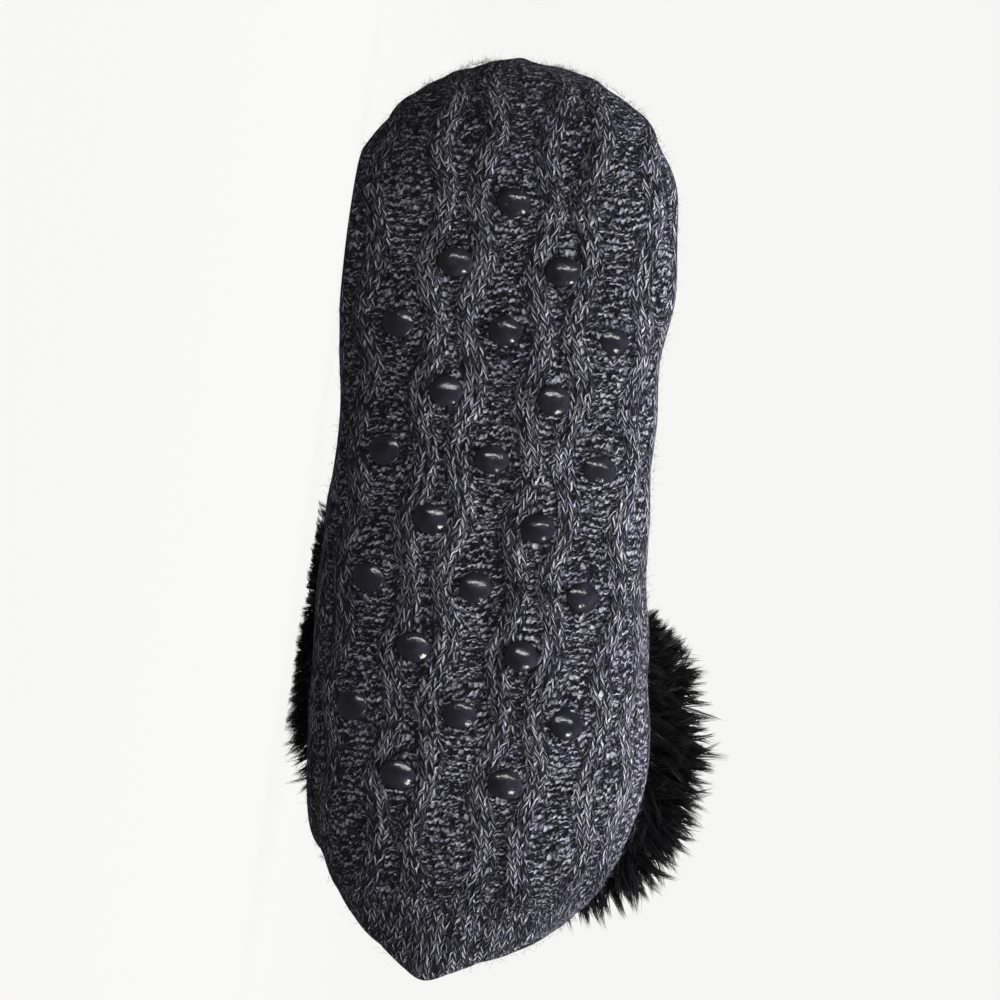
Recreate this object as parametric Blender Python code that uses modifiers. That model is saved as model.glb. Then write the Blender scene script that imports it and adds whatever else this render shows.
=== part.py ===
"""A cable-knit slipper sock with a turned-out faux-fur cuff and silicone grip dots.

It lies empty on its left side, as on a floor: the forefoot's edge and the cuff touch the floor.
The sock's own frame has x from the heel's point to the toe, y to the right as the sole is seen
with the toe up, and z from the sole to the collar. lay() turns that frame onto its side.
"""

import math
import random
from collections import namedtuple

import bmesh
import bpy
from mathutils import Matrix, Vector
from mathutils.bvhtree import BVHTree

# Driving dimensions in metres.
SOCK_LENGTH = 0.255
BALL_WIDTH = 0.094
COLLAR_HEIGHT = 0.096
WALL = 0.003
RIB_HEIGHT = 0.0012
CUFF_DEPTH = 0.046
CUFF_PAD = 0.011
CUFF_ROLL = 0.007
CUFF_INSIDE_PAD = 0.004
LOCK_LENGTH = 0.011
DOT_DIAMETER = 0.0086
DOT_HEIGHT = 0.0017
DOT_ROW_PITCH = 0.0178
DOT_COLUMN_PITCH = 0.0149
FIRST_DOT_FROM_TOE = 0.0408
CLEARANCE = 0.0005
FOOT_PRESS = 0.0024
CUFF_PRESS = 0.0030

# Counts. The knit repeats its cable eight times round the foot.
CABLES = 8
WALES_PER_CABLE = 6
AROUND = CABLES * WALES_PER_CABLE
HALF = AROUND // 2
FOOT_RINGS = 9
HEEL_RINGS = 14
FINE = 8
CUFF_LEVELS = 4
LOCK_SEED = 7

# One row for each cross-section, from the toe to the collar. Lengths along the foot are shares of
# SOCK_LENGTH, heights are shares of COLLAR_HEIGHT and widths are shares of BALL_WIDTH. A section runs
# from its sole point to its top point, is widest at the share belly of that height, and is rounded
# by the powers low and high. Skew turns the slack ankle: its left side goes forward.
Section = namedtuple("Section", "sole_x sole_z top_x top_z centre left right belly low high skew")
SECTIONS = [
    Section(0.9985, 0.125, 0.9985, 0.160, 0.016, 0.050, 0.040, 0.50, 2.0, 2.0, 0.0),
    Section(0.9902, 0.080, 0.9902, 0.205, 0.027, 0.142, 0.149, 0.48, 2.1, 2.0, 0.0),
    Section(0.9784, 0.055, 0.9784, 0.242, 0.034, 0.222, 0.235, 0.46, 2.2, 2.0, 0.0),
    Section(0.9608, 0.034, 0.9608, 0.284, 0.036, 0.304, 0.315, 0.44, 2.4, 2.1, 0.0),
    Section(0.9373, 0.019, 0.9373, 0.324, 0.035, 0.376, 0.382, 0.42, 2.5, 2.1, 0.0),
    Section(0.9059, 0.008, 0.9059, 0.362, 0.033, 0.436, 0.432, 0.41, 2.6, 2.1, 0.0),
    Section(0.8627, 0.002, 0.8627, 0.401, 0.030, 0.490, 0.473, 0.40, 2.7, 2.1, 0.0),
    Section(0.8078, 0.000, 0.8078, 0.440, 0.030, 0.520, 0.489, 0.40, 2.7, 2.1, 0.0),
    Section(0.7451, 0.001, 0.7451, 0.477, 0.032, 0.508, 0.490, 0.40, 2.7, 2.1, 0.0),
    Section(0.6745, 0.004, 0.6745, 0.518, 0.035, 0.486, 0.465, 0.40, 2.7, 2.1, 0.0),
    Section(0.6039, 0.006, 0.6050, 0.566, 0.038, 0.474, 0.468, 0.40, 2.7, 2.1, 0.0),
    Section(0.5333, 0.005, 0.5606, 0.618, 0.035, 0.474, 0.478, 0.40, 2.7, 2.1, 0.0),
    Section(0.4392, 0.002, 0.5345, 0.672, 0.028, 0.482, 0.490, 0.37, 2.7, 2.0, 0.0),
    Section(0.3451, 0.000, 0.5171, 0.726, 0.021, 0.476, 0.514, 0.34, 2.7, 1.9, 0.0),
    Section(0.2510, 0.003, 0.5054, 0.777, 0.011, 0.462, 0.537, 0.32, 2.6, 1.85, 0.0),
    Section(0.1647, 0.013, 0.4967, 0.822, 0.002, 0.448, 0.568, 0.31, 2.4, 1.8, 0.0),
    Section(0.0863, 0.042, 0.4909, 0.860, -0.012, 0.425, 0.579, 0.31, 2.2, 1.8, 0.0),
    Section(0.0275, 0.094, 0.4865, 0.892, -0.030, 0.388, 0.578, 0.33, 1.9, 1.8, 0.0),
    Section(-0.0010, 0.160, 0.4835, 0.919, -0.034, 0.352, 0.572, 0.37, 1.75, 1.85, 0.0),
    Section(0.0130, 0.281, 0.4820, 0.941, -0.010, 0.348, 0.548, 0.42, 1.9, 1.9, 0.12),
    Section(0.0500, 0.417, 0.4809, 0.958, 0.016, 0.376, 0.526, 0.47, 2.0, 2.0, 0.26),
    Section(0.1020, 0.562, 0.4802, 0.972, 0.042, 0.430, 0.510, 0.49, 2.1, 2.1, 0.38),
    Section(0.1500, 0.708, 0.4798, 0.983, 0.066, 0.486, 0.505, 0.50, 2.2, 2.2, 0.46),
    Section(0.1910, 0.854, 0.4793, 0.992, 0.084, 0.514, 0.503, 0.50, 2.2, 2.2, 0.50),
    Section(0.2230, 0.990, 0.4793, 1.000, 0.092, 0.523, 0.500, 0.50, 2.2, 2.2, 0.50),
]
FOREFOOT_RINGS = range(3, 12)

# The fur band's outer side, from its lower edge outside to its lower edge inside. Out is a share of
# CUFF_PAD and down a share of CUFF_DEPTH, both measured from the knit's rim.
FurPoint = namedtuple("FurPoint", "out down")
FUR_OUTSIDE = [
    FurPoint(0.95, 0.06),
    FurPoint(1.25, 0.32),
    FurPoint(1.22, 0.60),
    FurPoint(1.00, 0.86),
    FurPoint(0.60, 1.05),
]

# The grip dots, one row across the sole for each entry: their places in column pitches.
DOT_ROWS = [(0,)] + [(-1, 1), (-2, 0, 2)] * 4 + [(-1, 1)]
# The printed grid's middle leans a little to the right under the forefoot: shares of BALL_WIDTH at
# the first, the fourth and the last row.
DOT_MIDDLE = (0.028, 0.038, -0.004)


def catmull(values, t):
    """The value at t along a smooth curve through the values, which stand at 0, 1, 2 and so on."""
    i = min(int(t), len(values) - 2)
    f = t - i
    a, b = values[max(i - 1, 0)], values[i]
    c, d = values[i + 1], values[min(i + 2, len(values) - 1)]
    return b + 0.5 * f * (c - a + f * (2 * a - 5 * b + 4 * c - d + f * (3 * (b - c) + d - a)))


def section_at(t):
    """The section at a share of the way between the table's rows."""
    return Section(*(catmull([row[i] for row in SECTIONS], t) for i in range(len(Section._fields))))


def signed_power(value, power):
    return math.copysign(abs(value) ** power, value)


def half_outline(section, side):
    """One half of a section, from its sole point to its top point, as many evenly spaced points."""
    sole = Vector((section.sole_x * SOCK_LENGTH, 0, section.sole_z * COLLAR_HEIGHT))
    top = Vector((section.top_x * SOCK_LENGTH, 0, section.top_z * COLLAR_HEIGHT))
    rise = top - sole
    centre = section.centre * BALL_WIDTH
    width = (section.left if side < 0 else section.right) * BALL_WIDTH
    fine = []
    steps = 96
    for i in range(steps + 1):
        turn = math.pi * i / steps
        power = section.low if turn < math.pi / 2 else section.high
        along = -signed_power(math.cos(turn), 2 / power)
        across = signed_power(math.sin(turn), 2 / power)
        share = section.belly * (1 + along) if along < 0 else section.belly + along * (1 - section.belly)
        share -= 0.5 * section.skew * side * across
        fine.append(sole + rise * share + Vector((0, centre + side * width * across, 0)))
    return evenly_spaced(fine, HALF)


def evenly_spaced(points, count):
    """The polyline through the points again, as count equal steps along its length."""
    reach = [0.0]
    for a, b in zip(points, points[1:]):
        reach.append(reach[-1] + (b - a).length)
    spaced, i = [], 0
    for k in range(count + 1):
        target = reach[-1] * k / count
        while i < len(points) - 2 and reach[i + 1] < target:
            i += 1
        span = reach[i + 1] - reach[i]
        spaced.append(points[i].lerp(points[i + 1], (target - reach[i]) / span if span else 0.0))
    return spaced


def ring(t):
    """A whole section: point k lies on wale k, counted from the sole's middle to the right and round."""
    section = section_at(t)
    right, left = half_outline(section, 1), half_outline(section, -1)
    return right + left[-2:0:-1]


def grid_normals(grid):
    """The outward normal at each point of a grid of rings."""
    last = len(grid) - 1
    normals = []
    for j, points in enumerate(grid):
        before, after = grid[max(j - 1, 0)], grid[min(j + 1, last)]
        row = []
        for k in range(AROUND):
            round_it = points[(k + 1) % AROUND] - points[k - 1]
            along = after[k] - before[k]
            row.append(along.cross(round_it).normalized())
        normals.append(row)
    return normals


def knit_grid():
    """The knit's outer surface, ring by ring from the toe to the rim, with the cable ribs raised.

    The first FOOT_RINGS rings are the table's. The rest of each wale is shared out between there and
    the cuff's lower edge, and the last CUFF_LEVELS rings lie under the cuff, evenly down its depth.
    """
    fine = [ring(j / FINE) for j in range((len(SECTIONS) - 1) * FINE + 1)]
    grid = [fine[j * FINE] for j in range(FOOT_RINGS)]
    rows = [[] for _ in range(HEEL_RINGS + CUFF_LEVELS)]
    for k in range(AROUND):
        wale = [points[k] for points in fine]
        edge = place_below(wale, CUFF_DEPTH)
        start = (FOOT_RINGS - 1) * FINE
        places = [start + (edge - start) * i / HEEL_RINGS for i in range(1, HEEL_RINGS + 1)]
        depths = [CUFF_DEPTH * (1 - i / CUFF_LEVELS) for i in range(1, CUFF_LEVELS + 1)]
        places += [place_below(wale, depth) for depth in depths]
        for row, place in zip(rows, places):
            i = min(int(place), len(wale) - 2)
            row.append(wale[i].lerp(wale[i + 1], place - i))
    grid += rows
    for points, row in zip(grid, grid_normals(grid)):
        girth = sum((points[k] - points[k - 1]).length for k in range(AROUND))
        rib = RIB_HEIGHT * min(1.0, girth / (2 * BALL_WIDTH))
        for k in range(AROUND):
            share = 0.5 - 0.5 * math.cos(2 * math.pi * k / WALES_PER_CABLE)
            points[k] = points[k] + row[k] * rib * (share - 0.5)
    return grid


def place_below(wale, depth):
    """Where along a wale's points, as a number of steps from the toe, it is depth below the rim."""
    j = len(wale) - 1
    while j > 1:
        span = (wale[j] - wale[j - 1]).length
        if span >= depth:
            break
        depth -= span
        j -= 1
    return j - depth / (wale[j] - wale[j - 1]).length


def cuff_grid(grid):
    """The fur band's closed cross-section at each wale, saddled over the knit's rim."""
    normals = grid_normals(grid)
    last = len(grid) - 1
    rows = []
    for k in range(AROUND):
        upward = (grid[-1][k] - grid[-2][k]).normalized()
        inner_face = -WALL - 3 * CLEARANCE

        def beside(out, down):
            level = min(down, 1.2) * CUFF_LEVELS
            i = min(int(level), CUFF_LEVELS)
            share = level - i
            point = grid[last - i][k].lerp(grid[last - i - 1][k], share)
            return point + normals[last - i][k].lerp(normals[last - i - 1][k], share).normalized() * out

        def above(out, up):
            return grid[-1][k] + normals[-1][k] * out + upward * up

        inside = 1 / CUFF_LEVELS
        row = [beside(CLEARANCE, 1 - i / CUFF_LEVELS) for i in range(CUFF_LEVELS)]
        row.append(above(CLEARANCE, 3 * CLEARANCE))
        row.append(above(inner_face, 3 * CLEARANCE))
        row.append(beside(inner_face, inside))
        row.append(beside(inner_face - 0.6 * CUFF_INSIDE_PAD, 1.08 * inside))
        row.append(beside(inner_face - CUFF_INSIDE_PAD, 0.5 * inside))
        row.append(above(inner_face - 0.8 * CUFF_INSIDE_PAD, 0.35 * CUFF_ROLL))
        row.append(above(inner_face + 0.2 * CUFF_PAD, CUFF_ROLL))
        row.append(above(0.45 * CUFF_PAD, CUFF_ROLL))
        row += [beside(p.out * CUFF_PAD, p.down) for p in FUR_OUTSIDE]
        rows.append(row)
    return rows


def sideways_reach(points, angle):
    """How far the points reach to the left once the sock is turned by the angle in its sole's plane."""
    return min(p.y * math.cos(angle) - p.x * math.sin(angle) for p in points)


def find_floor(grid, cuff):
    """The tilt and the level at which the forefoot and the cuff both press into the floor."""
    forefoot = [p for j in FOREFOOT_RINGS for p in grid[j]]
    band = [p for row in cuff for p in row]
    low, high = math.radians(-20), math.radians(20)
    for _ in range(60):
        angle = (low + high) / 2
        gap = sideways_reach(forefoot, angle) + FOOT_PRESS - sideways_reach(band, angle) - CUFF_PRESS
        if gap > 0:
            low = angle
        else:
            high = angle
    return angle, sideways_reach(forefoot, angle) + FOOT_PRESS


def lay(point, floor):
    """A point of the sock's frame as it lies: toe to -X, sole to -Y, the sock's left side down."""
    angle, level = floor
    along = point.x * math.cos(angle) + point.y * math.sin(angle)
    across = point.y * math.cos(angle) - point.x * math.sin(angle)
    return Vector((-along, point.z, across - level))


def pressed(point):
    """Soft goods go flat where they would sink into the floor."""
    return Vector((point.x, point.y, max(point.z, 0.0)))


def new_object(name, mesh, material):
    mesh.materials.append(material)
    made = bpy.data.objects.new(name, mesh)
    PARTS.objects.link(made)
    return made


def new_material(name, colour, roughness, metallic=0.0):
    material = bpy.data.materials.new(name)
    material.use_nodes = True
    shader = material.node_tree.nodes["Principled BSDF"]
    shader.inputs["Base Color"].default_value = (*colour, 1)
    shader.inputs["Roughness"].default_value = roughness
    shader.inputs["Metallic"].default_value = metallic
    return material


def two_triangles(bm, a, b, c, d):
    """A quad split from a to c, so that two surfaces laid side by side bend in the same places."""
    bm.faces.new((a, b, c))
    bm.faces.new((a, c, d))


def knitted_sock(rings, material):
    """Foot, heel and ankle, knitted whole: one wall, closed at the toe and open at the collar."""
    bm = bmesh.new()
    loops = [[bm.verts.new(point) for point in points] for points in rings]
    for lower, upper in zip(loops, loops[1:]):
        for k in range(AROUND):
            following = (k + 1) % AROUND
            two_triangles(bm, lower[k], lower[following], upper[following], upper[k])
    tip = bm.verts.new(sum(rings[0], Vector()) / AROUND)
    for k in range(AROUND):
        bm.faces.new((loops[0][(k + 1) % AROUND], loops[0][k], tip))
    bmesh.ops.recalc_face_normals(bm, faces=bm.faces)
    mesh = bpy.data.meshes.new("knitted_sock")
    bm.to_mesh(mesh)
    bm.free()
    mesh.shade_smooth()
    sock = new_object("knitted_sock", mesh, material)
    shell = sock.modifiers.new("wall", "SOLIDIFY")
    shell.thickness = WALL
    shell.offset = -1
    return sock


def clear_of(surface, point):
    """The point, moved out from the knit's surface where it would come too near to it."""
    near, normal = surface.find_nearest(point)[:2]
    short = 3 * CLEARANCE - (point - near).dot(normal)
    return point + normal * short if short > 0 else point


def add_lock(bm, face, surface, chance):
    """Draws one face of the fur band out into a tapered lock with a bent tip."""
    centre = face.calc_center_median()
    reach = LOCK_LENGTH * chance.uniform(0.75, 1.2)
    droop = Vector((chance.uniform(-0.25, 0.25), -0.35, -0.15))
    way = (face.normal + droop).normalized()
    if centre.z + way.z * reach < 0.001:
        way.z = (0.001 - centre.z) / reach
    drawn = bmesh.ops.extrude_discrete_faces(bm, faces=[face])["faces"][0]
    middle = centre + way * reach * 0.5
    for vert in drawn.verts:
        vert.co = clear_of(surface, middle + (vert.co - centre) * 0.58)
    tip = bmesh.ops.poke(bm, faces=[drawn])["verts"][0]
    tip.co = clear_of(surface, centre + (way + 0.25 * droop).normalized() * reach)
    tip.co.z = max(tip.co.z, 0.0008)


def fur_cuff(rows, surface, material):
    """The turned-out band of deep fur, with its locks drawn out of it."""
    bm = bmesh.new()
    loops = [[bm.verts.new(point) for point in row] for row in rows]
    count = len(rows[0])
    first_furry = count - len(FUR_OUTSIDE) - 2
    furry = []
    for k in range(AROUND):
        here, following = loops[k], loops[(k + 1) % AROUND]
        for i in range(count):
            after = (i + 1) % count
            if i <= CUFF_LEVELS:
                two_triangles(bm, here[i], following[i], following[after], here[after])
            elif i < first_furry or i == count - 1:
                two_triangles(bm, here[after], following[after], following[i], here[i])
            else:
                face = bm.faces.new((here[i], here[after], following[after], following[i]))
                if (i + k) % 2 == 0:
                    furry.append(face)
    bmesh.ops.recalc_face_normals(bm, faces=bm.faces)
    chance = random.Random(LOCK_SEED)
    for face in furry:
        if face.calc_center_median().z > 0.3 * LOCK_LENGTH:
            add_lock(bm, face, surface, chance)
    mesh = bpy.data.meshes.new("fur_cuff")
    bm.to_mesh(mesh)
    bm.free()
    mesh.shade_smooth()
    return new_object("fur_cuff", mesh, material)


def dot_profile():
    """Half the outline of a grip dot, from its crown to its base's middle: radius and height."""
    radius = DOT_DIAMETER / 2
    return [
        (0.0, DOT_HEIGHT),
        (0.62 * radius, 0.88 * DOT_HEIGHT),
        (0.92 * radius, 0.45 * DOT_HEIGHT),
        (radius, 0.0),
        (0.0, 0.0),
    ]


def dot_mesh(material):
    """The profile that a Screw modifier turns into each dot."""
    points = dot_profile()
    mesh = bpy.data.meshes.new("grip_dot")
    mesh.from_pydata([(r, 0, h) for r, h in points], [(i, i + 1) for i in range(len(points) - 1)], [])
    mesh.materials.append(material)
    return mesh


def dot_places():
    """Where each dot's middle stands on the sole: distance from the heel's point, and across."""
    first, fourth, last = DOT_MIDDLE
    for row, columns in enumerate(DOT_ROWS):
        x = SOCK_LENGTH - FIRST_DOT_FROM_TOE - row * DOT_ROW_PITCH
        share = row / 3 if row < 3 else (row - 3) / (len(DOT_ROWS) - 4)
        middle = first + (fourth - first) * share if row < 3 else fourth + (last - fourth) * share
        for column in columns:
            yield Vector((x, middle * BALL_WIDTH + column * DOT_COLUMN_PITCH, 0))


def surface_of(rings):
    """The knit's outer surface, to measure from."""
    faces = []
    for j in range(len(rings) - 1):
        for k in range(AROUND):
            following = (k + 1) % AROUND
            a, b = j * AROUND + k, j * AROUND + following
            faces.append((a + AROUND, b + AROUND, b))
            faces.append((a + AROUND, b, a))
    return BVHTree.FromPolygons([point for points in rings for point in points], faces)


def grip_dots(surface, floor, material):
    """Silicone dots seated on the sole, each clear of the knit by CLEARANCE."""
    inward = Vector((0, 1, 0))
    profile = dot_mesh(material)
    for number, place in enumerate(dot_places(), start=1):
        start = lay(place, floor) - inward * BALL_WIDTH
        hit, normal = surface.ray_cast(start, inward)[:2]
        if normal.dot(inward) > 0:
            normal.negate()
        normal = smooth_normal(surface, hit, normal)
        dot = bpy.data.objects.new(f"grip_dot_{number:02d}", profile)
        dot.rotation_euler = normal.to_track_quat("Z", "Y").to_euler()
        dot.location = hit + normal * (stand_off(surface, hit, normal) + CLEARANCE)
        PARTS.objects.link(dot)
        turn = dot.modifiers.new("turn", "SCREW")
        turn.steps = turn.render_steps = 12
        turn.use_merge_vertices = True
        turn.merge_threshold = 0.00001
        turn.use_smooth_shade = True


def rim_hits(surface, middle, normal):
    """Points of the knit under a dot's rim, seen along its normal."""
    side = normal.orthogonal().normalized()
    other = normal.cross(side)
    for i in range(12):
        turn = 2 * math.pi * i / 12
        outward = (side * math.cos(turn) + other * math.sin(turn)) * DOT_DIAMETER / 2
        hit = surface.ray_cast(middle + outward + normal * BALL_WIDTH / 4, -normal)[0]
        if hit:
            yield hit


def smooth_normal(surface, middle, normal):
    """The knit's normal under a whole dot, from the points under its rim."""
    hits = list(rim_hits(surface, middle, normal))
    total = Vector()
    for a, b in zip(hits, hits[1:] + hits[:1]):
        total += (a - middle).cross(b - middle)
    total.normalize()
    return total if total.dot(normal) > 0 else -total


def stand_off(surface, middle, normal):
    """How far the knit rises above the dot's middle under its rim."""
    return max([0.0] + [(hit - middle).dot(normal) for hit in rim_hits(surface, middle, normal)])


def centre_on_origin():
    """Puts the origin on the floor, under the middle of the whole sock's bounding box."""
    bpy.context.view_layer.update()
    graph = bpy.context.evaluated_depsgraph_get()
    corners = []
    for made in PARTS.objects:
        whole = made.evaluated_get(graph)
        mesh = whole.to_mesh()
        corners += [whole.matrix_world @ vert.co for vert in mesh.vertices]
        whole.to_mesh_clear()
    middle_x = (min(c.x for c in corners) + max(c.x for c in corners)) / 2
    middle_y = (min(c.y for c in corners) + max(c.y for c in corners)) / 2
    for made in PARTS.objects:
        if made.name.startswith("grip_dot"):
            made.location -= Vector((middle_x, middle_y, 0))
        else:
            made.data.transform(Matrix.Translation((-middle_x, -middle_y, 0)))


def clear_scene():
    for old in list(bpy.data.objects):
        bpy.data.objects.remove(old)


def main():
    knit = new_material("knit", (0.035, 0.035, 0.042), 0.95)
    fur = new_material("fur", (0.008, 0.006, 0.008), 0.6)
    silicone = new_material("silicone", (0.012, 0.012, 0.016), 0.25)
    grid = knit_grid()
    cuff = cuff_grid(grid)
    floor = find_floor(grid, cuff)
    rings = [[pressed(lay(point, floor)) for point in points] for points in grid]
    surface = surface_of(rings)
    knitted_sock(rings, knit)
    fur_cuff([[pressed(lay(point, floor)) for point in row] for row in cuff], surface, fur)
    grip_dots(surface, floor, silicone)
    centre_on_origin()


clear_scene()
PARTS = bpy.data.collections.new("slipper_sock")
bpy.context.scene.collection.children.link(PARTS)
main()
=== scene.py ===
"""Looks of a cable-knit slipper sock with a deep faux-fur cuff, lying on its side, sole to the camera.

The knit, the lining and the fur follow the CAD's own surface. A point of it is given by a ring
(its place along the foot) and a share of the way round. The knit pattern lives in two coordinates:
U counts cables round the foot from the sole's middle, and V counts cable repeats towards the heel.
"""

import math

import bpy
import numpy as np
from mathutils import Matrix, Vector


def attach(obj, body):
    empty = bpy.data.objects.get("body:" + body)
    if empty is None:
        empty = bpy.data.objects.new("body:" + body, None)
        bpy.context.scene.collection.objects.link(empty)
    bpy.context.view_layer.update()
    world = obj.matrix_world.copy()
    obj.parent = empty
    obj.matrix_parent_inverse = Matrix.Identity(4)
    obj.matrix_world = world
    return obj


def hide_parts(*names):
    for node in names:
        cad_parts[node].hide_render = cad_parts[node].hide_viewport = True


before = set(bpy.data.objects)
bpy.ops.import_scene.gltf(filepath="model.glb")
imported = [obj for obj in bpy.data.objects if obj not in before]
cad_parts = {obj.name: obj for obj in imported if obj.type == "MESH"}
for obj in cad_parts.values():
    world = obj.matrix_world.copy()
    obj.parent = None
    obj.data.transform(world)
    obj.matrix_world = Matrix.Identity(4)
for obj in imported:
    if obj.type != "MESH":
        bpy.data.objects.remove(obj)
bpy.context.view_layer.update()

# The CAD's own sizes in metres, and how the sock lies.
SOCK_LENGTH = 0.255
BALL_WIDTH = 0.094
COLLAR_HEIGHT = 0.096
WALL = 0.003
CUFF_DEPTH = 0.046
TILT = math.radians(2.952882)
LEVEL = -0.0537180
SHIFT = (0.1276765, -0.0551189)
# Each row: sole_x, sole_z, top_x, top_z, centre, left, right, belly, low, high, skew.
SECTIONS = np.array([
    [0.9985, 0.125, 0.9985, 0.160, 0.016, 0.050, 0.040, 0.50, 2.0, 2.0, 0.0],
    [0.9902, 0.080, 0.9902, 0.205, 0.027, 0.142, 0.149, 0.48, 2.1, 2.0, 0.0],
    [0.9784, 0.055, 0.9784, 0.242, 0.034, 0.222, 0.235, 0.46, 2.2, 2.0, 0.0],
    [0.9608, 0.034, 0.9608, 0.284, 0.036, 0.304, 0.315, 0.44, 2.4, 2.1, 0.0],
    [0.9373, 0.019, 0.9373, 0.324, 0.035, 0.376, 0.382, 0.42, 2.5, 2.1, 0.0],
    [0.9059, 0.008, 0.9059, 0.362, 0.033, 0.436, 0.432, 0.41, 2.6, 2.1, 0.0],
    [0.8627, 0.002, 0.8627, 0.401, 0.030, 0.490, 0.473, 0.40, 2.7, 2.1, 0.0],
    [0.8078, 0.000, 0.8078, 0.440, 0.030, 0.520, 0.489, 0.40, 2.7, 2.1, 0.0],
    [0.7451, 0.001, 0.7451, 0.477, 0.032, 0.508, 0.490, 0.40, 2.7, 2.1, 0.0],
    [0.6745, 0.004, 0.6745, 0.518, 0.035, 0.486, 0.465, 0.40, 2.7, 2.1, 0.0],
    [0.6039, 0.006, 0.6050, 0.566, 0.038, 0.474, 0.468, 0.40, 2.7, 2.1, 0.0],
    [0.5333, 0.005, 0.5606, 0.618, 0.035, 0.474, 0.478, 0.40, 2.7, 2.1, 0.0],
    [0.4392, 0.002, 0.5345, 0.672, 0.028, 0.482, 0.490, 0.37, 2.7, 2.0, 0.0],
    [0.3451, 0.000, 0.5171, 0.726, 0.021, 0.476, 0.514, 0.34, 2.7, 1.9, 0.0],
    [0.2510, 0.003, 0.5054, 0.777, 0.011, 0.462, 0.537, 0.32, 2.6, 1.85, 0.0],
    [0.1647, 0.013, 0.4967, 0.822, 0.002, 0.448, 0.568, 0.31, 2.4, 1.8, 0.0],
    [0.0863, 0.042, 0.4909, 0.860, -0.012, 0.425, 0.579, 0.31, 2.2, 1.8, 0.0],
    [0.0275, 0.094, 0.4865, 0.892, -0.030, 0.388, 0.578, 0.33, 1.9, 1.8, 0.0],
    [-0.0010, 0.160, 0.4835, 0.919, -0.034, 0.352, 0.572, 0.37, 1.75, 1.85, 0.0],
    [0.0130, 0.281, 0.4820, 0.941, -0.010, 0.348, 0.548, 0.42, 1.9, 1.9, 0.12],
    [0.0500, 0.417, 0.4809, 0.958, 0.016, 0.376, 0.526, 0.47, 2.0, 2.0, 0.26],
    [0.1020, 0.562, 0.4802, 0.972, 0.042, 0.430, 0.510, 0.49, 2.1, 2.1, 0.38],
    [0.1500, 0.708, 0.4798, 0.983, 0.066, 0.486, 0.505, 0.50, 2.2, 2.2, 0.46],
    [0.1910, 0.854, 0.4793, 0.992, 0.084, 0.514, 0.503, 0.50, 2.2, 2.2, 0.50],
    [0.2230, 0.990, 0.4793, 1.000, 0.092, 0.523, 0.500, 0.50, 2.2, 2.2, 0.50],
])

# The knit. Cables stand CABLE_PITCH apart round the foot, and their pattern repeats every REPEAT
# along it. V is 0 at FIRST_CROSSING from the heel's point, and the cables end within HEEL_ROWS of V.
CABLE_PITCH = 0.0297
REPEAT = 0.0356
ROWS_PER_REPEAT = 17
FIRST_CROSSING = 0.2142
HEEL_ROWS = (5.25, 5.75)
# Widths across a cable are counted in this many even wales, with V_SHARE knitted V's to each.
WALES_PER_CABLE = 16
V_SHARE = 0.74
# Each cable's two ribs part round an eye and meet again: middle and swing, in wales.
RIB_SPREAD = (3.1, 0.90)
RIB_WIDTH = (1.9, 0.10)
RIB_LEAN = 0.4
RELIEF = 0.0007

# The printed dots. DOT_RINGS has the places of a dome's rings, as shares of the dot's radius.
DOT_RADIUS, DOT_HEIGHT, DOME_RADIUS = 0.0043, 0.00165, 0.0063
DOT_RINGS = [0.16, 0.32, 0.48, 0.62, 0.74, 0.84, 0.92, 0.98]

# The fur's backing: how far out of the knit and how far below the rim, from its lower edge outside,
# over the roll, to its lower edge inside. It stays off the floor, on the tips of its locks.
BACKING = [
    (0.0005, 0.0470), (0.0055, 0.0455), (0.0080, 0.0380), (0.0092, 0.0280), (0.0090, 0.0160),
    (0.0078, 0.0060), (0.0048, -0.0015), (0.0000, -0.0040), (-0.0045, -0.0025), (-0.0064, 0.0040),
    (-0.0068, 0.0085), (-0.0050, 0.0118),
]
BACKING_FLOOR = 0.0026
# Columns round the rim, in which places on the fur's backing are counted.
RIM_COLUMNS = 120
LOCKS, HAIRS_PER_LOCK = 2600, 17
FUZZ_FIBRES = 12000
# A hair's width at each of its segments, as a share of its width at the root.
HAIR_TAPER = np.array([1.0, 0.95, 0.75, 0.45])

# The camera's distance, the width that the picture covers, and the way that the toe leans in it.
CAMERA_DISTANCE = 1.4
PICTURE_WIDTH = 0.27605
TOE_LEAN = (0.99596, 0.08985)

# Everything random is drawn from here, so that each run gives the same sock.
chance = np.random.default_rng(11)


def catmull(values, t):
    """Rows of the table at the shares t of the way between its rows."""
    i = np.minimum(t.astype(int), len(values) - 2)
    f = (t - i)[:, None]
    a, b = values[np.maximum(i - 1, 0)], values[i]
    c, d = values[i + 1], values[np.minimum(i + 2, len(values) - 1)]
    return b + 0.5 * f * (c - a + f * (2 * a - 5 * b + 4 * c - d + f * (3 * (b - c) + d - a)))


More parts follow.
